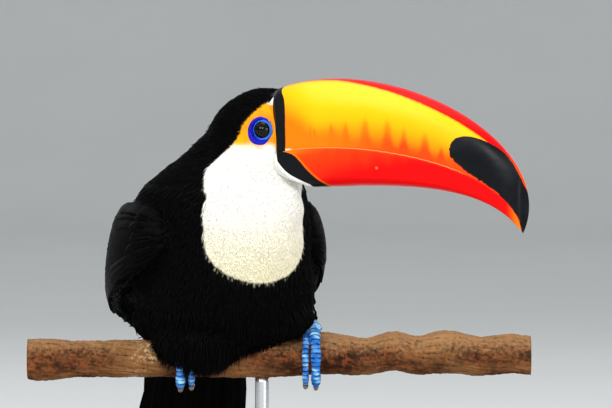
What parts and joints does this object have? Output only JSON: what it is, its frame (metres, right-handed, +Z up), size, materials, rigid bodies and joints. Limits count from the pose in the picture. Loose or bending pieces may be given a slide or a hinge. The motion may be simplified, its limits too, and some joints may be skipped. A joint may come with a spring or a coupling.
{
  "type": "toco toucan on a perch",
  "caption": "Life-size still model of a toco toucan gripping a short length of branch, head turned, held up by a rod on a round flat base.",
  "frame": {"origin": "centre of the underside of the stand's round base", "axes": "+Z up; the branch lies along X; the breast faces -Y, turned a little towards +X, and the bill points towards +X"},
  "size_m": [0.322, 0.2183, 0.348],
  "materials": {
    "plumage": "soft black feathers with a satin sheen; white bib, rump and orange face patch",
    "bill": "satin horn, yellow to orange and red, black at the base and tip spot",
    "eye": "wet gloss",
    "bare_skin": "blue scaled skin",
    "claw": "smooth horn",
    "bark": "rough bark",
    "steel": "brushed",
    "stained_wood": "satin, dark stain"
  },
  "bodies": {
    "root": {"head": "plumage", "neck": "plumage", "trunk": "plumage", "wing_right": "plumage", "wing_left": "plumage", "tail": "plumage", "bill_upper": "bill", "bill_lower": "bill", "eye_right": "eye", "eye_left": "eye", "leg_right": "bare_skin", "leg_left": "bare_skin", "foot_right": "bare_skin", "foot_left": "bare_skin", "claw_right_front_1": "claw", "claw_right_front_2": "claw", "claw_right_back_1": "claw", "claw_right_back_2": "claw", "claw_left_front_1": "claw", "claw_left_front_2": "claw", "claw_left_back_1": "claw", "claw_left_back_2": "claw", "perch": "bark", "stand_rod": "steel", "stand_base": "stained_wood"}
  },
  "joints": []
}
